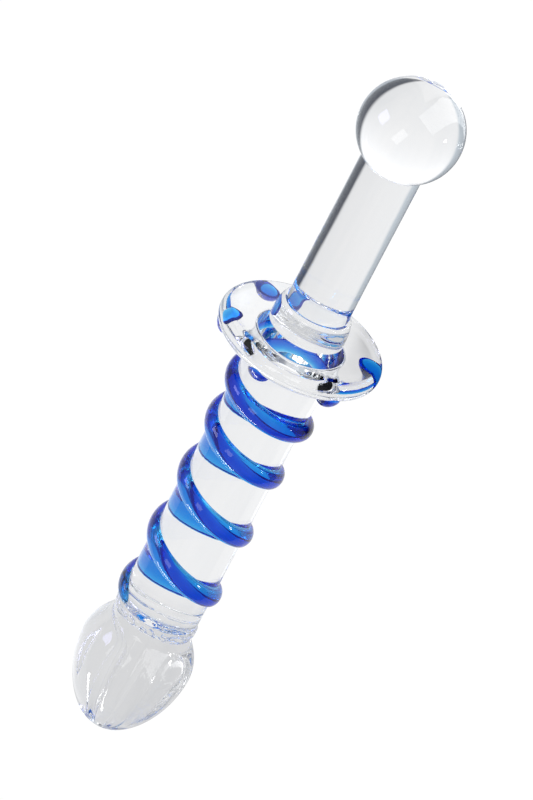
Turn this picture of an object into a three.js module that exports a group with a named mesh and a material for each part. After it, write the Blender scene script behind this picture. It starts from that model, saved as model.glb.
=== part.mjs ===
// Solid glass massage wand: a ball-ended handle, a round guard with coloured dots under its rim,
// a straight shaft with a coloured strand wound round it, and a fluted egg-shaped head.
// Millimetres. Each piece is drawn with the wand's axis on +Y, the head below and the ball above.
// The finished wand is laid down along +X and leaned until its head and its guard touch the ground.
import * as THREE from 'three';
import { ParametricGeometry } from 'three/addons/geometries/ParametricGeometry.js';

// Heights along the axis are measured from the widest ring of the head.
// Neighbouring pieces stop this far apart, where the real ones are melted together.
const seamGap = 0.3;

const headRadius = 16.1;
const headTipLength = 24.4;
const headShoulderLength = 14;
const headNeckRadius = 11.3;
const headTop = 12.9;
const headSides = 60;

const fluteCount = 8;
const fluteFirstAngle = -65;
const fluteHalfWidth = 8;
const fluteDepth = 0.5;
const fluteRunIn = 6;
const fluteFadeHeights = [5, 11];
const fluteSwirl = 50;
const fluteSwirlHeights = [1, 12];

const neckRingHeight = 2.4;
const neckRingRadius = 11.9;
const neckRingEdgeRadius = 11.2;

const shaftRadius = 11.4;
const guardBottom = 104.4;
const roundSides = 48;

const trailPitch = 20.4;
const trailHalfWidth = 3.3;
const trailHeight = 1.85;
const trailFatStart = 0.35;
const trailAnchorTurn = 2;
const trailAnchorHeight = 59.2;
const trailEasing = 1.85;
const trailSway = 0.5;
const trailSwayFrom = 0.6;
const trailStartTurn = -0.25;
const trailEndTurn = 4.12;
const trailTaperTurns = 0.14;
const trailStepsPerTurn = 24;

const guardRimHeight = 109.2;
const guardRimRound = 3.5;
const guardRadius = 23.8;
const guardTop = 113.1;
const guardDomeHeight = 0.8;
const guardFlatBand = 3;
const guardFootRadius = 12.2;
const guardFootFillet = 3;

const beadCount = 6;
const beadFirstAngle = -17;
const beadCircleRadius = 20;
const beadRadius = 3.35;
const beadHeight = 2.5;

const collarHeight = 7.4;
const collarTopRadius = 9.1;
const collarBottomRadius = 10.9;

const handleRadius = 8.95;
const ballCentre = 181.5;
const ballRadius = 14.8;

const toRadians = Math.PI / 180;

function clearGlass() {
  return new THREE.MeshStandardMaterial({ color: 0xe4e9ec, roughness: 0.05, metalness: 0 });
}

function cobaltGlass() {
  return new THREE.MeshStandardMaterial({ color: 0x0a36b4, roughness: 0.05, metalness: 0 });
}

function piece(name, geometry, material) {
  const mesh = new THREE.Mesh(geometry, material);
  mesh.name = name;
  return mesh;
}

// Turns an outline of [radius, height] points round the axis, with a flat side straight below.
function turned(outline, sides) {
  const points = outline.map(([radius, height]) => new THREE.Vector2(radius, height));
  return new THREE.LatheGeometry(points, sides, Math.PI / sides);
}

// Points along an ellipse's arc, from one angle to another in degrees, as [radius, height].
function arc(centre, semiAxes, fromDegrees, toDegrees, steps) {
  const points = [];
  for (let i = 0; i <= steps; i += 1) {
    const angle = (fromDegrees + ((toDegrees - fromDegrees) * i) / steps) * toRadians;
    points.push([centre[0] + semiAxes[0] * Math.cos(angle), centre[1] + semiAxes[1] * Math.sin(angle)]);
  }
  return points;
}

// The head's outline: a slightly pointed egg below, a shorter ellipse above, blended into the neck.
function headOutline() {
  const pointedness = 1.8;
  const fullness = 0.52;
  const blend = 12;
  const tipRows = 14;
  const shoulderRows = 11;
  const outline = [[0, -headTipLength]];
  for (let row = 1; row < tipRows; row += 1) {
    const along = Math.cos((row / tipRows) * (Math.PI / 2));
    const radius = headRadius * (1 - along ** pointedness) ** fullness;
    outline.push([radius, -headTipLength * along]);
  }
  for (let row = 0; row <= shoulderRows; row += 1) {
    const height = (headTop * row) / shoulderRows;
    const shoulder = headRadius * Math.sqrt(1 - (height / headShoulderLength) ** 2);
    const radius = (shoulder ** blend + headNeckRadius ** blend) ** (1 / blend);
    outline.push([radius, height]);
  }
  outline.push([0, headTop]);
  return outline;
}

// How deep the flutes cut at one place: each is a soft groove that runs up from the tip,
// fades at both ends and swirls round the shoulder.
function fluteCut(angle, height) {
  const fadeIn = THREE.MathUtils.smoothstep(height, -headTipLength, -headTipLength + fluteRunIn);
  const fadeOut = 1 - THREE.MathUtils.smoothstep(height, ...fluteFadeHeights);
  const swirl = fluteSwirl * THREE.MathUtils.smoothstep(height, ...fluteSwirlHeights);
  const spacing = 360 / fluteCount;
  const offset = angle + swirl - fluteFirstAngle;
  const nearest = offset - Math.round(offset / spacing) * spacing;
  return fluteDepth * fadeIn * fadeOut * Math.exp(-((nearest / fluteHalfWidth) ** 2));
}

function headBulb() {
  const closeToAxis = 1;
  const geometry = turned(headOutline(), headSides);
  const places = geometry.attributes.position;
  for (let i = 0; i < places.count; i += 1) {
    const x = places.getX(i);
    const z = places.getZ(i);
    const radius = Math.hypot(x, z);
    if (radius > closeToAxis) {
      const shrink = 1 - fluteCut(Math.atan2(x, z) / toRadians, places.getY(i)) / radius;
      places.setX(i, x * shrink);
      places.setZ(i, z * shrink);
    }
  }
  return piece('head_bulb', geometry, clearGlass());
}

function neckRing() {
  const bottom = headTop + seamGap;
  const middle = bottom + neckRingHeight / 2;
  const bulge = [neckRingRadius - neckRingEdgeRadius, neckRingHeight / 2];
  const outside = arc([neckRingEdgeRadius, middle], bulge, -90, 90, 6);
  const outline = [[0, bottom], ...outside, [0, bottom + neckRingHeight]];
  return piece('neck_ring', turned(outline, roundSides), clearGlass());
}

function shaftRod() {
  const bottom = headTop + neckRingHeight + 2 * seamGap;
  const top = guardBottom - seamGap;
  const outline = [[0, bottom], [shaftRadius, bottom], [shaftRadius, top], [0, top]];
  return piece('shaft_rod', turned(outline, roundSides), clearGlass());
}

// Height of the wound strand's middle line after a number of turns, counted from its first
// pass over the left side. It is wound by hand: flatter at first, then steeper over the front
// than over the back, more so towards the head.
function trailHeightAt(turn) {
  const even = trailAnchorHeight - trailPitch * (turn - trailAnchorTurn);
  const early = Math.max(0, trailAnchorTurn - turn);
  const sway = trailSway * Math.max(0, turn - trailSwayFrom) * Math.cos(2 * Math.PI * turn);
  return even - trailEasing * early * early + sway;
}

// How much thicker the strand stands over its first pass down the front, where it was laid on.
function trailFatness(turn) {
  const thickestTurn = 0.45;
  const fadeTurns = 0.45;
  return 1 + trailFatStart * Math.exp(-(((turn - thickestTurn) / fadeTurns) ** 2));
}

// The strand is a low dome in section, laid on the shaft, and tapers to a point at both ends.
function spiralTrail() {
  const turns = trailEndTurn - trailStartTurn;
  const base = shaftRadius + seamGap;
  const surfacePoint = (across, along, target) => {
    const turn = trailStartTurn + turns * along;
    const toEnd = Math.min(turn - trailStartTurn, trailEndTurn - turn);
    const size = Math.sqrt(1 - (1 - Math.min(1, toEnd / trailTaperTurns)) ** 2);
    const round = across * 2 * Math.PI;
    const lift = Math.max(0, Math.sin(round));
    const radius = base + trailHeight * trailFatness(turn) * size * lift;
    const height = trailHeightAt(turn) + trailHalfWidth * size * Math.cos(round);
    const angle = turn * 2 * Math.PI - Math.PI / 2;
    target.set(radius * Math.sin(angle), height, radius * Math.cos(angle));
  };
  const steps = Math.round(turns * trailStepsPerTurn);
  const sectionSides = 10;
  const geometry = new ParametricGeometry(surfacePoint, sectionSides, steps);
  return piece('spiral_trail', geometry, cobaltGlass());
}

// Low foot under the disc, a flat underside, a rounded rim and a gently domed top.
function guardDisc() {
  const underside = guardRimHeight - guardRimRound;
  const footSpan = [guardFootFillet, underside - guardBottom];
  const rimCentre = [guardRadius - guardRimRound, guardRimHeight];
  const rimSpan = [guardRimRound, guardRimRound];
  const domeCentre = [collarBottomRadius, guardTop - guardDomeHeight];
  const domeSpan = [guardRadius - guardFlatBand - collarBottomRadius, guardDomeHeight];
  const rimEnd = 66;
  const domeStart = 30;
  const outline = [
    [0, guardBottom],
    ...arc([guardFootRadius + guardFootFillet, guardBottom], footSpan, 180, 90, 4),
    ...arc(rimCentre, rimSpan, -90, rimEnd, 11),
    ...arc(domeCentre, domeSpan, domeStart, 90, 4),
    [0, guardTop],
  ];
  return piece('guard_disc', turned(outline, roundSides), clearGlass());
}

// Each bead is half an ellipsoid with its flat side up, against the guard.
function guardBead(index) {
  const sides = 16;
  const outline = [...arc([0, 0], [beadRadius, beadHeight], -90, 0, 6), [0, 0]];
  outline[0][0] = 0;
  const bead = piece(`guard_bead_${index + 1}`, turned(outline, sides), cobaltGlass());
  const angle = (beadFirstAngle + (360 / beadCount) * index) * toRadians;
  const height = guardRimHeight - guardRimRound - seamGap;
  bead.position.set(beadCircleRadius * Math.sin(angle), height, beadCircleRadius * Math.cos(angle));
  return bead;
}

// Bell-shaped foot of the handle, standing on the guard.
function handleCollar() {
  const bottom = guardTop + seamGap;
  const flare = [collarBottomRadius - collarTopRadius, collarHeight];
  const bell = arc([collarTopRadius, bottom], flare, 0, 90, 8);
  const outline = [[0, bottom], ...bell, [0, bottom + collarHeight]];
  return piece('handle_collar', turned(outline, roundSides), clearGlass());
}

// Height at which the handle's surface meets the ball's.
function ballSeat() {
  return ballCentre - Math.sqrt(ballRadius ** 2 - handleRadius ** 2);
}

function handleRod() {
  const bottom = guardTop + collarHeight + 2 * seamGap;
  const top = ballSeat() - seamGap;
  const outline = [[0, bottom], [handleRadius, bottom], [handleRadius, top], [0, top]];
  return piece('handle_rod', turned(outline, roundSides), clearGlass());
}

function ballEnd() {
  const seat = ballSeat();
  const seatAngle = Math.asin((seat - ballCentre) / ballRadius) / toRadians;
  const rows = 13;
  const outline = [[0, seat], ...arc([0, ballCentre], [ballRadius, ballRadius], seatAngle, 90, rows)];
  outline[outline.length - 1][0] = 0;
  return piece('ball_end', turned(outline, roundSides), clearGlass());
}

const wand = new THREE.Group();
wand.add(headBulb(), neckRing(), shaftRod(), spiralTrail(), guardDisc());
for (let index = 0; index < beadCount; index += 1) {
  wand.add(guardBead(index));
}
wand.add(handleCollar(), handleRod(), ballEnd());
wand.rotation.z = -Math.PI / 2;

const group = new THREE.Group();
group.add(wand);

// Lowest point of one piece once the wand is leaned by an angle.
function lowest(name, lean) {
  group.rotation.y = -lean;
  group.updateMatrixWorld(true);
  return new THREE.Box3().setFromObject(wand.getObjectByName(name), true).min.z;
}

// The lean at which the head and the guard reach equally low is found by halving a bracket.
function restingLean() {
  let low = 0;
  let high = 10 * toRadians;
  const halvings = 40;
  for (let step = 0; step < halvings; step += 1) {
    const middle = (low + high) / 2;
    if (lowest('guard_disc', middle) < lowest('head_bulb', middle)) {
      low = middle;
    } else {
      high = middle;
    }
  }
  return (low + high) / 2;
}

group.rotation.y = -restingLean();
group.updateMatrixWorld(true);
const box = new THREE.Box3().setFromObject(group, true);
group.position.set(-(box.min.x + box.max.x) / 2, -(box.min.y + box.max.y) / 2, -box.min.z);

export default group;
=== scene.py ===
import bpy
import math
import numpy as np
from mathutils import Matrix, Vector


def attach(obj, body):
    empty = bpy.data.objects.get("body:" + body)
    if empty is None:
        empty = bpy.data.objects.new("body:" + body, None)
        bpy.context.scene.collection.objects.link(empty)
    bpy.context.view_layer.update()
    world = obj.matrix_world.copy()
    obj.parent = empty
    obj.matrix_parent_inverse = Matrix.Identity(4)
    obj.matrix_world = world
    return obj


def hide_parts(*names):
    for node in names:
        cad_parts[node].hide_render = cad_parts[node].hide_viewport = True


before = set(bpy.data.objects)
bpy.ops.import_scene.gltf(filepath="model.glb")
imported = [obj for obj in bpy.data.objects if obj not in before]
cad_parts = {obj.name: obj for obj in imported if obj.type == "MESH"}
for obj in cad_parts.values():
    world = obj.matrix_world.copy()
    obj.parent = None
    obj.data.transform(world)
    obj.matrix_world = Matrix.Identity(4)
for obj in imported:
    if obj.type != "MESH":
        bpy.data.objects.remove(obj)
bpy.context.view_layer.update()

# How the wand lies
# The finished wand rests on its side, on the rim of its guard and the widest ring of its head, so its axis
# climbs a little towards the ball. The axis is read from the straight shaft, and every height and radius
# below is measured along it and out from it, starting at the tip of the head.
MM = 0.001


def corners(node):
    """Every corner of a node's mesh, one row of x, y, z each."""
    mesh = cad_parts[node].data
    flat = np.empty(len(mesh.vertices) * 3)
    mesh.vertices.foreach_get("co", flat)
    return flat.reshape(-1, 3)


shaft_corners = corners("shaft_rod")
shaft_middle = shaft_corners.mean(axis=0)
axis = np.linalg.svd(shaft_corners - shaft_middle, full_matrices=False)[2][0]
axis = axis * np.sign(axis[0])
front = np.array((0.0, 0.0, 1.0)) - axis * axis[2]
front = front / np.linalg.norm(front)
right = np.cross(axis, front)
tip = shaft_middle + axis * ((corners("head_bulb") - shaft_middle) @ axis).min()


def span(node):
    """Lowest and highest place of a node along the axis."""
    heights = (corners(node) - tip) @ axis
    return heights.min(), heights.max()


def reach(node):
    """Largest distance of a node from the axis."""
    out = corners(node) - tip
    return np.linalg.norm(out - np.outer(out @ axis, axis), axis=1).max()


def seam(below, above):
    """Height of the plane where two neighbouring pieces are melted together."""
    return (span(below)[1] + span(above)[0]) / 2


# Camera
# A long lens looks down on the wand from the ball's side, so that the wand is foreshortened, and is rolled
# until the wand stands steeply across the upright frame with the ball at its upper right.
LEAN_TO_LENS = math.radians(29)
ROLL = math.radians(62.2)
LENS_DISTANCE = 5.0
FRAME_HEIGHT = 0.2152
SENSOR = 36
AIM_HEIGHT = 112.65 * MM
AIM_ASIDE = 0.6 * MM
aim = tip + axis * AIM_HEIGHT - right * AIM_ASIDE

towards_lens = axis * math.sin(LEAN_TO_LENS) + front * math.cos(LEAN_TO_LENS)
up_the_wand = axis * math.cos(LEAN_TO_LENS) - front * math.sin(LEAN_TO_LENS)
image_right = up_the_wand * math.cos(ROLL) + right * math.sin(ROLL)
image_up = up_the_wand * math.sin(ROLL) - right * math.cos(ROLL)

lens = bpy.data.cameras.new("long_lens")
lens.sensor_width = SENSOR
lens.lens = SENSOR * LENS_DISTANCE / FRAME_HEIGHT
lens.clip_start = 0.1
lens.clip_end = 20
camera = bpy.data.objects.new("long_lens", lens)
camera.matrix_world = Matrix.Translation(Vector(aim + towards_lens * LENS_DISTANCE)) @ Matrix(
    np.column_stack((image_right, image_up, towards_lens)).tolist()
).to_4x4()
bpy.context.collection.objects.link(camera)
bpy.context.scene.camera = camera

# Light table
# The wand lies on a white sheet that glows from below, the usual way to show clear glass. Seen directly it is
# evenly white. What the glass gathers from it is painted light and shade: a painted grey under the head,
# painted glow beyond the ball and left of the shaft, and a painted dark card beside the handle that draws the
# handle's dark edge. The card is no object, only a dark patch painted into the glow.
TABLE_SIZE = 6.0
TABLE_CLEARANCE = 0.2 * MM
SHEET_GREY = (0.02, 0.02, 0.02, 1)
SHEET_ROUGHNESS = 0.9
SHEET_WHITE = (1.0, 1.0, 1.0, 1)
# Painted shade and painted glow that only rays from the glass see, one grey for each zone of the sheet.
PAINTED_SHADE_AT_HEAD = (0.74, 0.74, 0.745, 1)
PAINTED_GREY_AT_SHAFT = (0.97, 0.97, 0.97, 1)
PAINTED_GREY_AT_HANDLE = (0.92, 0.92, 0.92, 1)
PAINTED_GLOW_BEYOND_BALL = (1.5, 1.5, 1.5, 1)
PAINTED_GLOW_LEFT_OF_SHAFT = (1.30, 1.32, 1.35, 1)
PAINTED_SHADE_LEFT_OF_HANDLE = (0.56, 0.62, 0.67, 1)
# Painted dark card: painted shade beside the handle, paler further out, with no card there.
PAINTED_DARK_CARD = (0.012, 0.014, 0.03, 1)
PAINTED_GREY_BEYOND_CARD = (0.33, 0.36, 0.42, 1)
SHAFT_FROM, SHAFT_TO = 22 * MM, 50 * MM
HANDLE_FROM, HANDLE_TO = 115 * MM, 140 * MM
BEYOND_FROM, BEYOND_TO = 187 * MM, 211 * MM
LEFT_FROM, LEFT_TO = 14 * MM, 21 * MM
SHADE_FROM, SHADE_TO = -14 * MM, 14 * MM
SHADE = (0.86, 0.86, 0.865, 1)
PAINTED_CARD_FROM, PAINTED_CARD_TO = 11 * MM, 16 * MM
PAINTED_CARD_EDGE, PAINTED_CARD_EDGE_TO = 48 * MM, 62 * MM
PAINTED_CARD_SKEW = 0.7
PAINTED_CARD_END, PAINTED_CARD_END_TO = 130 * MM, 142 * MM


class Board:
    """Node tree being filled in: adds nodes by type and joins them by socket name or number."""

    def __init__(self, tree):
        self.tree = tree

    def add(self, kind, wires=None, **settings):
        """A node with the given settings. Every wire is a value, or another node's output socket."""
        node = self.tree.nodes.new(kind)
        for name, value in settings.items():
            setattr(node, name, value)
        for socket, value in (wires or {}).items():
            if isinstance(value, bpy.types.NodeSocket):
                self.tree.links.new(value, node.inputs[socket])
            else:
                node.inputs[socket].default_value = value
        return node

    def math(self, operation, first, second=0.0):
        return self.add("ShaderNodeMath", {0: first, 1: second}, operation=operation).outputs[0]

    def ramp(self, value, low, high):
        """Zero below low, one above high, with a smooth step between."""
        wires = {"Value": value, "From Min": low, "From Max": high}
        return self.add("ShaderNodeMapRange", wires, interpolation_type="SMOOTHSTEP").outputs[0]

    def multiply(self, first, second):
        return self.mix(1.0, first, second, "MULTIPLY")

    def mix(self, share, first, second, blend="MIX"):
        node = self.add("ShaderNodeMix", data_type="RGBA", blend_type=blend)
        for socket, value in ((0, share), (6, first), (7, second)):
            if isinstance(value, bpy.types.NodeSocket):
                self.tree.links.new(value, node.inputs[socket])
            else:
                node.inputs[socket].default_value = value
        return node.outputs[2]

    def shared(self, tree, wires):
        """The outputs of a shared group placed with its own values."""
        node = self.add("ShaderNodeGroup", node_tree=tree)
        for name, value in wires.items():
            node.inputs[name].default_value = value
        return node.outputs

    def dot(self, vector, direction):
        wires = {0: vector, 1: tuple(direction)}
        return self.add("ShaderNodeVectorMath", wires, operation="DOT_PRODUCT").outputs["Value"]


def new_material(name):
    """An empty node material and its board."""
    material = bpy.data.materials.new(name)
    material.use_nodes = True
    material.node_tree.nodes.clear()
    return material, Board(material.node_tree)


def light_table():
    """A square sheet whose glow is mixed in zones, by the distance along the wand and aside from it. The
    zones are painted shade and painted glow, and only rays from the glass see them.
    """
    half = TABLE_SIZE / 2
    mesh = bpy.data.meshes.new("light_table")
    mesh.from_pydata(
        [(-half, -half, 0), (half, -half, 0), (half, half, 0), (-half, half, 0)], [], [(0, 1, 2, 3)]
    )
    table = bpy.data.objects.new("light_table", mesh)
    table.location = (0, 0, -TABLE_CLEARANCE)
    bpy.context.collection.objects.link(table)
    material, board = new_material("white_sheet_painted_shade")
    spot = board.add("ShaderNodeTexCoord").outputs["Object"]
    along = board.math("SUBTRACT", board.dot(spot, axis), float(tip @ axis))
    aside = board.dot(spot, right)
    # Painted shade under the head, painted grey along the shaft and handle, painted glow beyond the ball.
    grey = board.mix(board.ramp(along, SHAFT_FROM, SHAFT_TO), PAINTED_SHADE_AT_HEAD, PAINTED_GREY_AT_SHAFT)
    grey = board.mix(board.ramp(along, HANDLE_FROM, HANDLE_TO), grey, PAINTED_GREY_AT_HANDLE)
    grey = board.mix(board.ramp(along, BEYOND_FROM, BEYOND_TO), grey, PAINTED_GLOW_BEYOND_BALL)
    shade = board.mix(board.ramp(aside, SHADE_FROM, SHADE_TO), SHEET_WHITE, SHADE)
    grey = board.multiply(grey, shade)
    # Painted glow left of the shaft, turning to painted shade left of the handle.
    away = board.math("ABSOLUTE", aside)
    skewed = board.math("ADD", along, board.math("MULTIPLY", away, PAINTED_CARD_SKEW))
    handle_side = board.ramp(skewed, PAINTED_CARD_END, PAINTED_CARD_END_TO)
    painted_left_glow = board.mix(handle_side, PAINTED_GLOW_LEFT_OF_SHAFT, PAINTED_SHADE_LEFT_OF_HANDLE)
    leftward = board.ramp(board.math("MULTIPLY", aside, -1.0), LEFT_FROM, LEFT_TO)
    grey = board.mix(leftward, grey, painted_left_glow)
    # Painted dark card beside the handle: painted shade, with no card object.
    beside = board.ramp(aside, PAINTED_CARD_FROM, PAINTED_CARD_TO)
    painted_card = board.mix(board.ramp(aside, PAINTED_CARD_EDGE, PAINTED_CARD_EDGE_TO), PAINTED_DARK_CARD, PAINTED_GREY_BEYOND_CARD)
    gathered = board.mix(board.math("MULTIPLY", beside, handle_side), grey, painted_card)
    # The lens sees the sheet plain white; rays from the glass see the painted shade and glow.
    seen = board.add("ShaderNodeLightPath").outputs["Is Camera Ray"]
    glow = board.mix(seen, gathered, SHEET_WHITE)
    wires = {"Base Color": SHEET_GREY, "Roughness": SHEET_ROUGHNESS, "Specular IOR Level": 0.0}
    wires.update({"Emission Color": glow, "Emission Strength": 1.0})
    sheet = board.add("ShaderNodeBsdfPrincipled", wires)
    board.add("ShaderNodeOutputMaterial", {"Surface": sheet.outputs[0]})
    mesh.materials.append(material)


light_table()

# Room and lamps
# The room is pale on the wand's left and dark on its right, which gives the glass its pale right edge and
# its dark left one. One soft box hangs overhead and a small one stands low on the right. A long low one
# beyond the head draws the fine line along the strand, and the one on the left is slightly violet.
ROOM_WHITE = (1.0, 1.0, 1.0, 1)
ROOM_PALE = (0.75, 0.78, 0.82, 1)
ROOM_TOP = (0.62, 0.63, 0.65, 1)
ROOM_DARK = (0.24, 0.26, 0.31, 1)
DARK_FROM, DARK_TO = 0.0, 0.3
TOP_FROM, TOP_TO = 0.3, 0.8
DAYLIGHT = (1.0, 1.0, 1.0)
VIOLET = (0.60, 0.58, 1.0)
SOFT_BOXES = (
    ("soft_box_over", (0.1, 0.25, 1.0), (0.6, 0.3), 1.3, DAYLIGHT),
    ("soft_box_right", (0.3, -0.9, 0.12), (0.10, 0.10), 0.7, DAYLIGHT),
    ("soft_box_far", (-0.75, 0.30, 0.12), (0.5, 0.10), 2.0, DAYLIGHT),
    ("soft_box_left", (0.2, 0.7, 0.33), (0.3, 0.3), 1.7, VIOLET),
)


def room():
    """Even white to the lens. The glass gathers a grey that depends on how far a ray points up and aside."""
    world = bpy.data.worlds.new("room")
    bpy.context.scene.world = world
    world.use_nodes = True
    world.node_tree.nodes.clear()
    board = Board(world.node_tree)
    facing = board.add("ShaderNodeTexCoord").outputs["Generated"]
    height = board.dot(facing, (0, 0, 1))
    aside = board.dot(facing, right)
    sides = board.mix(board.ramp(aside, DARK_FROM, DARK_TO), ROOM_PALE, ROOM_DARK)
    gathered = board.mix(board.ramp(height, TOP_FROM, TOP_TO), sides, ROOM_TOP)
    seen = board.add("ShaderNodeLightPath").outputs["Is Camera Ray"]
    glow = board.mix(seen, gathered, ROOM_WHITE)
    background = board.add("ShaderNodeBackground", {"Color": glow})
    board.add("ShaderNodeOutputWorld", {"Surface": background.outputs[0]})


def soft_box(name, place, size, watts, colour):
    """An even rectangular lamp that faces the middle of the wand."""
    lamp = bpy.data.lights.new(name, "AREA")
    lamp.shape = "RECTANGLE"
    lamp.size, lamp.size_y = size
    lamp.energy = watts
    lamp.color = colour
    box = bpy.data.objects.new(name, lamp)
    box.location = place
    box.rotation_mode = "QUATERNION"
    box.rotation_quaternion = (-Vector(place)).to_track_quat("-Z", "Y")
    bpy.context.collection.objects.link(box)


room()
for soft_box_values in SOFT_BOXES:
    soft_box(*soft_box_values)

bpy.context.scene.view_settings.view_transform = "Standard"
bpy.context.scene.cycles.max_bounces = 32
bpy.context.scene.cycles.transmission_bounces = 32
bpy.context.scene.cycles.glossy_bounces = 12
bpy.context.scene.cycles.transparent_max_bounces = 32

# Shaft rod
# A straight solid rod of clear borosilicate glass, drawn by hand, so it wavers slightly along its length. It
# is melted into the neck ring below, and widens a little up to the guard that it is melted into above. Its
# surface is worked out here, and it is handed over after the strand that covers part of it.
ROUND_COLUMNS = 256
SHAFT_ROWS = 330
POLE_RADIUS = 1 * MM
WAVER = 0.04 * MM
SEAM_GAP = 0.01 * MM
FLARE_WIDTH, FLARE_HEIGHT = 1.1 * MM, 25 * MM
ROOT_FILLET = 0.8 * MM
GUARD_FOOT_HEIGHT = 1.3 * MM
SHARP_EDGE = math.radians(50)
GLASS_IOR = 1.474
CLEAR_TINTS = (0.975, 0.980, 0.985, 1), (0.945, 0.955, 0.965, 1)
TINT_LIMITS = 0.35, 0.7
POLISH_LIMITS = 0.45, 0.75
POLISH_MAX = 0.02
STREAK_STRETCH = (18 / 420, 1, 1)
STREAK_FINENESS, STREAK_DETAIL = 420.0, 3.0
RIPPLE_SOFTNESS, RIPPLE_DETAIL = 160.0, 2.0

shaft_radius = reach("shaft_rod")
shaft_low = seam("neck_ring", "shaft_rod") + SEAM_GAP
shaft_high = seam("shaft_rod", "guard_disc") - SEAM_GAP
underside = span("guard_disc")[0] + GUARD_FOOT_HEIGHT


def place(angle, height, radius):
    """Points of the wand: an angle round the axis from the upper side, a height along it and a radius."""
    across = (radius * np.sin(angle))[..., None] * right
    outward = (radius * np.cos(angle))[..., None] * front
    return tip + height[..., None] * axis + across + outward


def waver(angle, height):
    """Unevenness of hand-worked glass: three slow waves, each a sine of the height plus whole turns."""
    slow = np.sin(height / (21 * MM) + angle)
    lobed = 0.6 * np.sin(height / (13 * MM) - 2 * angle + 1.3)
    fine = 0.3 * np.sin(height / (6.5 * MM) + 3 * angle + 0.4)
    return WAVER * (slow + lobed + fine)


def closed_grid(name, points, fused):
    """A closed mesh from rows of points that each run once round. The first and the last row are single
    points, and every row's last column joins its first. fused is above zero where a surface is melted
    into its neighbour, zero on the seam's edge and below zero outside."""
    rows, columns = points.shape[:2]
    ring = np.arange(columns)
    after = np.roll(ring, -1)
    body = points[1:-1].reshape(-1, 3)
    vertices = np.concatenate((points[0, :1], body, points[-1, :1]))
    marks = np.concatenate((fused[0, :1], fused[1:-1].ravel(), fused[-1, :1]))
    first = 1 + columns * np.arange(rows - 3)[:, None]
    quads = np.stack((first + ring, first + after, first + columns + after, first + columns + ring), axis=-1)
    top = 1 + columns * (rows - 3)
    last = len(vertices) - 1
    bottom_fan = np.stack((np.zeros_like(ring), 1 + after, 1 + ring), axis=-1)
    top_fan = np.stack((np.full_like(ring, last), top + ring, top + after), axis=-1)
    faces = bottom_fan.tolist() + quads.reshape(-1, 4).tolist() + top_fan.tolist()
    mesh = bpy.data.meshes.new(name)
    mesh.from_pydata(vertices.tolist(), [], faces)
    mesh.polygons.foreach_set("use_smooth", np.ones(len(mesh.polygons), dtype=bool))
    layer = mesh.attributes.new("fused", "FLOAT", "POINT")
    layer.data.foreach_set("value", marks.astype(np.float32))
    mesh.set_sharp_from_angle(angle=SHARP_EDGE)
    obj = bpy.data.objects.new(name, mesh)
    bpy.context.collection.objects.link(obj)
    return obj


def turned(name, outline, uneven=waver, columns=ROUND_COLUMNS, covered=None):
    """A turned piece: an outline of radii, heights and melted marks from the bottom pole to the top pole,
    carried round the axis. uneven gives the change of radius from the angle and the height, and covered
    gives the marks where other pieces are melted on from the outside."""
    radii, heights, fused = outline
    angle = np.linspace(0, 2 * np.pi, columns, endpoint=False)[None, :]
    height = np.repeat(heights[:, None], columns, axis=1)
    radius = radii[:, None] + np.where(radii[:, None] > POLE_RADIUS, uneven(angle, height), 0)
    marks = np.repeat(fused[:, None], columns, axis=1)
    if covered:
        marks = np.maximum(marks, covered(angle, height, radius))
    return closed_grid(name, place(angle, height, radius), marks)


def elliptic(centre, semi_axes, start, end, count):
    """Radii and heights along an ellipse's arc between two angles in degrees."""
    angle = np.radians(np.linspace(start, end, count))
    return centre[0] + semi_axes[0] * np.cos(angle), centre[1] + semi_axes[1] * np.sin(angle)


def seamed(radii, heights, low_seam=True, high_seam=True):
    """Closes an outline with a flat melted face at each seam, or leaves it to run to its own pole."""
    fused = np.full(len(radii), -1.0)
    if low_seam:
        fused[0] = 0
        radii, heights = np.concatenate(([0], radii)), np.concatenate((heights[:1], heights))
        fused = np.concatenate(([1], fused))
    if high_seam:
        fused[-1] = 0
        radii, heights = np.concatenate((radii, [0])), np.concatenate((heights, heights[-1:]))
        fused = np.concatenate((fused, [1]))
    return radii, heights, fused


def shaft_surface(height):
    """Radius of the shaft: straight, then a slight cone and a quarter-circle fillet up to the guard."""
    cone = np.clip((height - underside + FLARE_HEIGHT) / FLARE_HEIGHT, 0, 1)
    rise = np.clip((height - underside + ROOT_FILLET) / ROOT_FILLET, 0, 1)
    return shaft_radius + FLARE_WIDTH * cone + ROOT_FILLET * (1 - np.sqrt(1 - rise**2))


def group(name, inputs, outputs):
    """An empty shared shader group with number inputs and outputs, its board, its input and output nodes."""
    tree = bpy.data.node_groups.new(name, "ShaderNodeTree")
    for label in inputs:
        tree.interface.new_socket(label, in_out="INPUT", socket_type="NodeSocketFloat")
    for label in outputs:
        tree.interface.new_socket(label, in_out="OUTPUT", socket_type="NodeSocketFloat")
    board = Board(tree)
    return tree, board, board.add("NodeGroupInput"), board.add("NodeGroupOutput")


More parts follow.
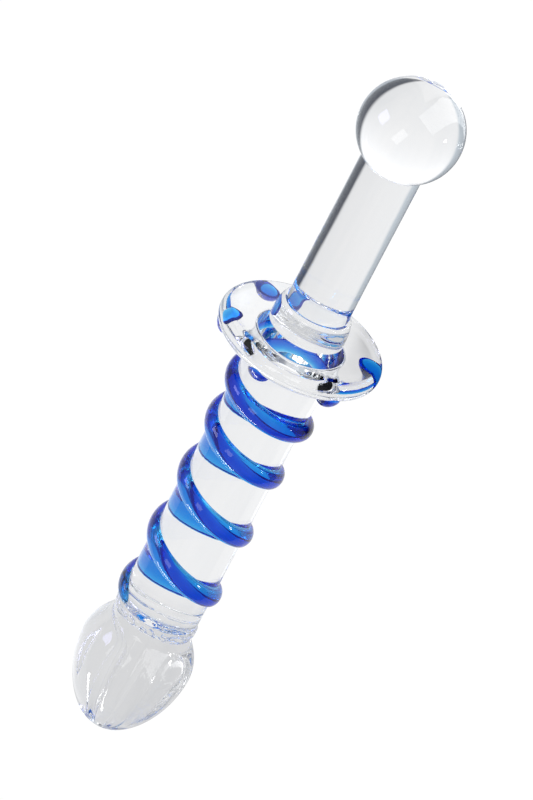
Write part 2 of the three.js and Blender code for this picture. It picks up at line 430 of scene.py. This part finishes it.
def draw_lines_group():
    """Marks of drawing and flame-polishing: Streaks are fine cords stretched along the axis, Ripple is the
    soft unevenness of the polished skin, both from zero to one. Fineness and Softness set how many of each
    there are in a metre."""
    tree, board, given, out = group("draw_lines", ("Fineness", "Softness"), ("Streaks", "Ripple"))
    spot = board.add("ShaderNodeTexCoord").outputs["Object"]
    lean = math.atan2(axis[2], axis[0])
    turn = {"Vector": spot, "Rotation": (0, lean, 0), "Scale": STREAK_STRETCH}
    level = board.add("ShaderNodeMapping", turn).outputs[0]
    wires = {"Vector": level, "Scale": given.outputs["Fineness"], "Detail": STREAK_DETAIL}
    streaks = board.add("ShaderNodeTexNoise", wires)
    wires = {"Vector": spot, "Scale": given.outputs["Softness"], "Detail": RIPPLE_DETAIL}
    ripple = board.add("ShaderNodeTexNoise", wires)
    board.tree.links.new(streaks.outputs["Fac"], out.inputs["Streaks"])
    board.tree.links.new(ripple.outputs["Fac"], out.inputs["Ripple"])
    return tree


def open_glass_group():
    """Open is one on bare glass and zero where the surface is melted into a neighbour."""
    tree, board, given, out = group("open_glass", ("Limit",), ("Open",))
    mark = board.add("ShaderNodeAttribute", attribute_name="fused").outputs["Fac"]
    board.tree.links.new(board.math("LESS_THAN", mark, given.outputs["Limit"]), out.inputs["Open"])
    return tree


draw_lines = draw_lines_group()
open_glass = open_glass_group()


def glass(name, tints, ripple_height, streak_height, absorb=None):
    """Glass in two tints streaked along its draw lines, with a rippled skin of the given heights. absorb
    is how strongly the body of the glass takes up red, green and blue, per metre."""
    material, board = new_material(name)
    wires = {"Fineness": STREAK_FINENESS, "Softness": RIPPLE_SOFTNESS}
    lines = board.shared(draw_lines, wires)
    cover = board.shared(open_glass, {"Limit": 0.0})["Open"]
    tint = board.mix(board.ramp(lines["Streaks"], *TINT_LIMITS), *tints)
    polish = board.math("MULTIPLY", board.ramp(lines["Ripple"], *POLISH_LIMITS), POLISH_MAX)
    skin = board.add("ShaderNodeBump", {"Height": lines["Ripple"], "Distance": ripple_height})
    drawn = {"Height": lines["Streaks"], "Distance": streak_height, "Normal": skin.outputs[0]}
    skin = board.add("ShaderNodeBump", drawn)
    wires = {"Base Color": tint, "Roughness": polish, "Metallic": 0.0, "IOR": GLASS_IOR}
    wires.update({"Transmission Weight": 1.0, "Alpha": cover, "Normal": skin.outputs[0]})
    surface = board.add("ShaderNodeBsdfPrincipled", wires)
    ends = {"Surface": surface.outputs[0]}
    if absorb:
        density = max(absorb)
        body = (*[1 - share / density for share in absorb], 1)
        volume = board.add("ShaderNodeVolumeAbsorption", {"Density": density, "Color": body})
        ends["Volume"] = volume.outputs[0]
    board.add("ShaderNodeOutputMaterial", ends)
    return material


def hand_over(obj, node, material):
    """Gives a finished piece its glass and puts it in place of its plain node."""
    obj.data.materials.append(material)
    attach(obj, "root")
    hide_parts(node)


# Spiral trail
# A strand of transparent cobalt glass, wound by hand round the shaft while soft, so its rise is not quite
# even, and melted onto it along its foot. It is thickest where it was laid on and thins out at both ends.
HEAD_TIP_LENGTH = 24.4 * MM
TRAIL_PITCH = 20.4 * MM
TRAIL_HALF_WIDTH = 3.3 * MM
TRAIL_RISE = 2.1 * MM
TRAIL_FAT_START = 0.35
TRAIL_FAT_TURN, TRAIL_FAT_FADE = 0.45, 0.45
TRAIL_TURNS = (-0.25, 4.12)
TRAIL_TAPER = 0.14
TRAIL_ANCHOR_TURN = 2
TRAIL_ANCHOR = 59.2 * MM + HEAD_TIP_LENGTH
TRAIL_EASING = 1.85 * MM
TRAIL_SWAY, TRAIL_SWAY_FROM = 0.5 * MM, 0.6
TRAIL_FOOT_GAP = 0.02 * MM
TRAIL_DOME_SHARE = 0.96
TRAIL_FILLET_SHARE, TRAIL_FILLET_RISE = 0.2, 0.3
TRAIL_STEPS_PER_TURN = 144
TRAIL_WRAPS = range(-1, 6)
DOME_STEPS, FOOT_STEPS = 44, 12
COBALT_TINTS = (0.06, 0.43, 0.93, 1), (0.03, 0.35, 0.87, 1)
COBALT_ABSORB = (1500, 440, 85)


def trail_height(turn):
    """Height of the strand's middle line after a number of turns: even turns, flatter at first, with a sway
    over front and back that grows towards the head."""
    even = TRAIL_ANCHOR - TRAIL_PITCH * (turn - TRAIL_ANCHOR_TURN)
    early = np.maximum(0, TRAIL_ANCHOR_TURN - turn)
    sway = TRAIL_SWAY * np.maximum(0, turn - TRAIL_SWAY_FROM) * np.cos(2 * np.pi * turn)
    return even - TRAIL_EASING * early**2 + sway


def trail_size(turn):
    """Share of the strand's full width at a turn: a round taper to nothing at both ends."""
    to_end = np.minimum(turn - TRAIL_TURNS[0], TRAIL_TURNS[1] - turn) / TRAIL_TAPER
    return np.sqrt(np.maximum(0, 1 - (1 - np.clip(to_end, 0, 1)) ** 2))


def under_trail(angle, height, radius):
    """How far inside the strand's foot each place of the shaft lies, whichever wrap is the nearest."""
    covered = np.full(radius.shape, -1.0)
    for wrap in TRAIL_WRAPS:
        turn = angle / (2 * np.pi) + 0.25 + wrap
        size = trail_size(turn)
        inside = TRAIL_HALF_WIDTH * size - np.abs(height - trail_height(turn))
        covered = np.maximum(covered, np.where(size > 0, inside, -1.0))
    return covered


def trail_lift(across):
    """Section of the strand: the cubes of a half circle and of a hollow parabola at each edge are added,
    so the dome runs out into a small wetted fillet on the shaft."""
    dome = np.sqrt(np.maximum(0, 1 - (across / TRAIL_DOME_SHARE) ** 2))
    to_edge = np.clip((1 - np.abs(across)) / TRAIL_FILLET_SHARE, 0, 1)
    return (dome**3 + (TRAIL_FILLET_RISE * to_edge**2 * (to_edge < 1)) ** 3) ** (1 / 3)


def spiral_trail():
    """The section is swept along the winding, and shrinks with it at both ends."""
    turn = np.linspace(*TRAIL_TURNS, int((TRAIL_TURNS[1] - TRAIL_TURNS[0]) * TRAIL_STEPS_PER_TURN))[:, None]
    arch = np.linspace(0, np.pi, DOME_STEPS + 1)
    foot = np.linspace(-1, 1, FOOT_STEPS + 1)[1:-1]
    across = np.concatenate((np.cos(arch), foot))
    lift = np.concatenate((trail_lift(np.cos(arch)), 0 * foot))
    marks = np.concatenate(([0], np.full(DOME_STEPS - 1, -1.0), [0], 0 * foot + 1))
    size = trail_size(turn)
    fat = 1 + TRAIL_FAT_START * np.exp(-(((turn - TRAIL_FAT_TURN) / TRAIL_FAT_FADE) ** 2))
    height = trail_height(turn) + TRAIL_HALF_WIDTH * size * across
    angle = turn * 2 * np.pi - np.pi / 2 + 0 * across
    foot_radius = shaft_surface(height) + waver(angle, height) + TRAIL_FOOT_GAP
    radius = foot_radius + TRAIL_RISE * fat * size * lift
    fused = np.repeat(marks[None, :], len(turn), axis=0)
    return closed_grid("trail_glass", place(angle, height, radius), fused)


strand_skin = {"ripple_height": 0.03 * MM, "streak_height": 0.02 * MM}
cobalt = glass("cobalt_strand", COBALT_TINTS, absorb=COBALT_ABSORB, **strand_skin)
hand_over(spiral_trail(), "spiral_trail", cobalt)

# Shaft rod under the strand
# The straight rod again, now that the strand's foot is known: its skin is bare glass except where the strand
# and the two neighbours are melted onto it.
shaft_heights = np.linspace(shaft_low, shaft_high, SHAFT_ROWS)
shaft_outline = seamed(shaft_surface(shaft_heights), shaft_heights)
shaft = turned("shaft_glass", shaft_outline, covered=under_trail)
shaft_glass = glass("clear_rod", CLEAR_TINTS, ripple_height=0.01 * MM, streak_height=0.05 * MM)
hand_over(shaft, "shaft_rod", shaft_glass)

# Guard disc
# A thick disc of clear glass, built up on the rod and spun flat: its underside is flat, its rim is round and
# its top is slightly domed. Fine rings from the spinning run round it.
RIM_ROUND = 3.5 * MM
DOME_FOOT = 10.9 * MM
DOME_HEIGHT = 0.8 * MM
FLAT_BAND = 3 * MM
BEAD_COUNT = 6
BEAD_FIRST = math.radians(-17)
BEAD_CIRCLE = 20 * MM
BEAD_RADIUS = 3.35 * MM
SPIN_LINES, SPIN_SPACING = 0.01 * MM, 0.35 * MM
RIM_END, DOME_START = 66, 30
FLARE_ROWS, FLAT_ROWS, RIM_ROWS, DOME_ROWS = 14, 22, 60, 36

guard_radius = reach("guard_disc")


def guard_waver(angle, height):
    """Rings left by spinning the disc: a fine sine of the height, wandering slowly round the axis."""
    return SPIN_LINES * np.sin(height / SPIN_SPACING + 0.8 * np.sin(2 * angle))


def under_beads(angle, height, radius):
    """How far inside the nearest bead's foot each place of the guard's underside lies."""
    covered = np.full(radius.shape, -1.0)
    for index in range(BEAD_COUNT):
        spot = BEAD_FIRST + index * 2 * np.pi / BEAD_COUNT
        away = np.hypot(radius * np.sin(angle - spot), radius * np.cos(angle - spot) - BEAD_CIRCLE)
        covered = np.maximum(covered, np.where(height < underside + RIM_ROUND, BEAD_RADIUS - away, -1.0))
    return covered


def guard_disc():
    """The outline runs out of the flare, along the flat underside, round the rim and over the dome."""
    low = shaft_high + 2 * SEAM_GAP
    high = seam("guard_disc", "handle_collar") - SEAM_GAP
    flare_heights = np.linspace(low, underside, FLARE_ROWS)
    flare = shaft_surface(flare_heights), flare_heights
    flat_radii = np.linspace(flare[0][-1], guard_radius - RIM_ROUND, FLAT_ROWS)[1:]
    flat = flat_radii, np.full(len(flat_radii), underside)
    rim_middle = guard_radius - RIM_ROUND, underside + RIM_ROUND
    rim = elliptic(rim_middle, (RIM_ROUND, RIM_ROUND), -90, RIM_END, RIM_ROWS)
    dome_span = guard_radius - FLAT_BAND - DOME_FOOT, DOME_HEIGHT
    dome = elliptic((DOME_FOOT, high - DOME_HEIGHT), dome_span, DOME_START, 90, DOME_ROWS)
    radii = np.concatenate((flare[0], flat[0], rim[0][1:], dome[0]))
    heights = np.concatenate((flare[1], flat[1], rim[1][1:], dome[1]))
    return turned("guard_glass", seamed(radii, heights), uneven=guard_waver, covered=under_beads)


guard_glass = glass("clear_disc", CLEAR_TINTS, ripple_height=0.03 * MM, streak_height=0.01 * MM)
hand_over(guard_disc(), "guard_disc", guard_glass)

# Guard beads
# Six dots of the same cobalt glass, touched onto the guard's underside near its rim, one by one. Each is a
# drop with a round belly, and its foot is melted into the guard.
BEAD_DROP = 2.5 * MM
BEAD_FOOT_GAP = 0.02 * MM
BEAD_COLUMNS = 64
BELLY_STEPS, SEAT_STEPS = 20, 8


def guard_underside(out):
    """Height of the guard's underside at a distance from the axis: flat, then round up the rim."""
    past = np.clip(out - (guard_radius - RIM_ROUND), 0, RIM_ROUND)
    return underside + RIM_ROUND - np.sqrt(np.maximum(RIM_ROUND**2 - past**2, 0))


def guard_bead(index):
    """Rings round the bead's own middle: a half ellipsoid below and a foot that follows the guard."""
    spot = BEAD_FIRST + index * 2 * np.pi / BEAD_COUNT
    belly = np.linspace(0, np.pi / 2, BELLY_STEPS)
    seat = np.linspace(1, 0, SEAT_STEPS)[1:]
    rings = np.concatenate((np.sin(belly), seat))[:, None]
    drop = np.concatenate((np.cos(belly), 0 * seat))[:, None]
    marks = np.concatenate((np.full(BELLY_STEPS - 1, -1.0), [0], 0 * seat + 1))[:, None]
    around = np.linspace(0, 2 * np.pi, BEAD_COLUMNS, endpoint=False)[None, :]
    outward = BEAD_CIRCLE + BEAD_RADIUS * rings * np.cos(around)
    sideways = BEAD_RADIUS * rings * np.sin(around)
    radius = np.hypot(outward, sideways)
    angle = spot + np.arctan2(sideways, outward)
    height = guard_underside(radius) - BEAD_FOOT_GAP - BEAD_DROP * drop
    fused = np.repeat(marks, BEAD_COLUMNS, axis=1)
    return closed_grid(f"bead_glass_{index + 1}", place(angle, height, radius), fused)


bead_skin = {"ripple_height": 0.02 * MM, "streak_height": 0.01 * MM}
bead_glass = glass("cobalt_dot", COBALT_TINTS, absorb=COBALT_ABSORB, **bead_skin)
for bead in range(BEAD_COUNT):
    hand_over(guard_bead(bead), f"guard_bead_{bead + 1}", bead_glass)

# Handle collar
# A short bell of clear glass that joins the handle to the guard: a round lip at the top, a wider foot below.
# It was gathered round the rod's end and melted onto both.
COLLAR_FULLNESS = 2.6
COLLAR_ROWS = 70
collar_low = seam("guard_disc", "handle_collar") + SEAM_GAP
collar_high = seam("handle_collar", "handle_rod") - SEAM_GAP
handle_radius = reach("handle_rod")


def handle_collar():
    """A superellipse's quarter: the share of width to a power and the share of height to the same power
    always add up to one."""
    width = reach("handle_collar") - handle_radius
    turn = np.linspace(0, np.pi / 2, COLLAR_ROWS)
    radii = handle_radius + width * np.abs(np.cos(turn)) ** (2 / COLLAR_FULLNESS)
    heights = collar_low + (collar_high - collar_low) * np.sin(turn) ** (2 / COLLAR_FULLNESS)
    return turned("collar_glass", seamed(radii, heights))


collar_glass = glass("clear_bell", CLEAR_TINTS, ripple_height=0.03 * MM, streak_height=0.01 * MM)
hand_over(handle_collar(), "handle_collar", collar_glass)

# Handle rod
# The thinner solid rod between the guard and the ball, drawn by hand and flame-polished. A narrow fillet
# leads into the ball.
BALL_FILLET = 0.8 * MM
HANDLE_ROWS, FINE_ROWS, FINE_LENGTH = 180, 24, 1 * MM
ball_radius = reach("ball_end")
ball_centre = span("ball_end")[1] - ball_radius
fillet_reach = (ball_radius + BALL_FILLET) ** 2 - (handle_radius + BALL_FILLET) ** 2
fillet_middle = ball_centre - math.sqrt(fillet_reach)
ball_seam = seam("handle_rod", "ball_end")


def handle_surface(height):
    """Radius of the handle: straight, then a small round fillet up to the ball."""
    rise = np.clip(height - fillet_middle, 0, BALL_FILLET)
    return handle_radius + BALL_FILLET - np.sqrt(BALL_FILLET**2 - rise**2)


handle_low = seam("handle_collar", "handle_rod") + SEAM_GAP
handle_straight = np.linspace(handle_low, ball_seam - FINE_LENGTH, HANDLE_ROWS)
handle_top = np.linspace(ball_seam - FINE_LENGTH, ball_seam - SEAM_GAP, FINE_ROWS)[1:]
handle_heights = np.concatenate((handle_straight, handle_top))
handle = turned("handle_glass", seamed(handle_surface(handle_heights), handle_heights))
handle_glass = glass("clear_handle", CLEAR_TINTS, ripple_height=0.01 * MM, streak_height=0.05 * MM)
hand_over(handle, "handle_rod", handle_glass)

# Ball end
# A round gather of clear glass on the end of the handle, turned in the flame until it is a ball. A narrow
# fillet is left where it was melted onto the handle.
BALL_ROWS, BALL_FILLET_ROWS = 140, 8


def ball_end():
    """The upper part of the fillet, then a circle from where the fillet touches it up to the pole."""
    touch = ball_radius / (ball_radius + BALL_FILLET)
    meet = ball_centre + (fillet_middle - ball_centre) * touch
    fillet_heights = np.linspace(ball_seam + SEAM_GAP, meet, BALL_FILLET_ROWS)
    start = math.degrees(math.asin((meet - ball_centre) / ball_radius))
    ball = elliptic((0, ball_centre), (ball_radius, ball_radius), start, 90, BALL_ROWS)
    radii = np.concatenate((handle_surface(fillet_heights), ball[0][1:]))
    heights = np.concatenate((fillet_heights, ball[1][1:]))
    radii[-1] = 0
    return turned("ball_glass", seamed(radii, heights, high_seam=False))


ball_glass = glass("clear_ball", CLEAR_TINTS, ripple_height=0.02 * MM, streak_height=0.005 * MM)
hand_over(ball_end(), "ball_end", ball_glass)

# Neck ring
# A low ring of clear glass where the shaft was melted onto the head. It was squeezed while soft, so its skin
# is crinkled and catches small glints.
CRINKLE = 0.3 * MM
FOLDS, SMALL_FOLDS, SMALL_SHARE = 11, 23, 0.3
RING_INSET = 0.1 * MM
RING_ROWS, RING_COLUMNS = 40, 512
ring_low = seam("head_bulb", "neck_ring") + SEAM_GAP
ring_high = seam("neck_ring", "shaft_rod") - SEAM_GAP


def crinkle(angle, height):
    """Crinkles: sines of the height and of whole turns multiplied together, fading at both seams."""
    share = (height - ring_low) / (ring_high - ring_low)
    inside = np.sin(np.pi * np.clip(share, 0, 1))
    folds = np.sin(FOLDS * angle + 3 * np.sin(3 * angle)) * np.sin(2 * np.pi * share + 5 * angle)
    small = SMALL_SHARE * np.sin(SMALL_FOLDS * angle + 6 * share)
    return CRINKLE * inside * (folds + small) + waver(angle, height)


def neck_ring():
    """Half an ellipse, standing out from the shaft."""
    edge = shaft_radius - RING_INSET
    bulge = reach("neck_ring") - edge
    middle = edge, (ring_low + ring_high) / 2
    outline = elliptic(middle, (bulge, (ring_high - ring_low) / 2), -90, 90, RING_ROWS)
    return turned("ring_glass", seamed(*outline), uneven=crinkle, columns=RING_COLUMNS)


ring_glass = glass("clear_ring", CLEAR_TINTS, ripple_height=0.06 * MM, streak_height=0.01 * MM)
hand_over(neck_ring(), "neck_ring", ring_glass)

# Head bulb
# An egg-shaped gather of clear glass, creased lengthwise with a blade while soft, at uneven steps. Most
# creases end near the widest ring, and one runs on as a deep fold that swirls round the shoulder.
HEAD_NECK_RADIUS = 11.3 * MM
HEAD_SHOULDER_LENGTH = 14 * MM
HEAD_POINTEDNESS, HEAD_FULLNESS = 1.8, 0.52
HEAD_BLEND = 12
# Each crease: its angle round the axis, its two ends above the widest ring and its depth in millimetres, and
# the widths of its left and right wall in degrees.
CREASES = (
    (-50, -11, 1, 0.9, 6, 3),
    (-14.5, -24, 40, 1.7, 8, 4.5),
    (12, -24, 0, 0.9, 2.5, 9),
    (75, -4, 4, 0.9, 4, 4),
    (118, -24, 0, 0.35, 6, 5),
    (165, -24, 8, 0.35, 8, 6),
    (210, -24, 0, 0.35, 5, 7),
    (260, -18, 0, 0.35, 5, 5),
)
FADE_IN, FADE_OUT = 7, 8
NARROWEST = 0.3
SWIRL, SWIRL_POWER, SWIRL_LIMIT = 100, 5, 1.2
SWIRL_FROM, SWIRL_LENGTH = 3 * MM, 9 * MM
HEAD_LOW_ROWS, HEAD_TOP_ROWS, HEAD_COLUMNS = 90, 60, 480
head_high = seam("head_bulb", "neck_ring") - SEAM_GAP


def ease(value, low, high):
    """Smooth step from zero at low to one at high."""
    share = np.clip((value - low) / (high - low), 0, 1)
    return share * share * (3 - 2 * share)


def creases(angle, height):
    """Each crease is a groove with one wall wider than the other, a bell curve of the angle on either side,
    deepest between its two ends. The swirl turns them by a power of the height over the shoulder."""
    above = height - HEAD_TIP_LENGTH
    share = np.clip((above - SWIRL_FROM) / SWIRL_LENGTH, 0, SWIRL_LIMIT)
    swirled = np.degrees(angle) + SWIRL * share**SWIRL_POWER
    cut = np.zeros(height.shape)
    for start, low, high, depth, left_wall, right_wall in CREASES:
        offset = (swirled - start + 180) % 360 - 180
        begun = ease(above, low * MM, (low + FADE_IN) * MM)
        fade = begun * (1 - ease(above, high * MM, (high + FADE_OUT) * MM))
        wall = np.where(offset < 0, left_wall, right_wall) * (NARROWEST + (1 - NARROWEST) * fade)
        cut = cut + depth * MM * fade * np.exp(-((offset / wall) ** 2))
    return waver(angle, height) - cut


def head_bulb():
    """A pointed egg below the widest ring and a shorter ellipse above it, blended into the neck."""
    widest = reach("head_bulb")
    along = np.cos(np.linspace(0, np.pi / 2, HEAD_LOW_ROWS))
    low_radii = widest * (1 - along**HEAD_POINTEDNESS) ** HEAD_FULLNESS
    low_heights = HEAD_TIP_LENGTH * (1 - along)
    up = np.linspace(HEAD_TIP_LENGTH, head_high, HEAD_TOP_ROWS)[1:]
    shoulder = np.sqrt(1 - ((up - HEAD_TIP_LENGTH) / HEAD_SHOULDER_LENGTH) ** 2)
    neck = HEAD_NECK_RADIUS / widest
    up_radii = widest * (shoulder**HEAD_BLEND + neck**HEAD_BLEND) ** (1 / HEAD_BLEND)
    low_radii[0] = 0
    radii, heights = np.concatenate((low_radii, up_radii)), np.concatenate((low_heights, up))
    outline = seamed(radii, heights, low_seam=False)
    return turned("head_glass", outline, uneven=creases, columns=HEAD_COLUMNS)


head_glass = glass("clear_head", CLEAR_TINTS, ripple_height=0.02 * MM, streak_height=0.02 * MM)
hand_over(head_bulb(), "head_bulb", head_glass)
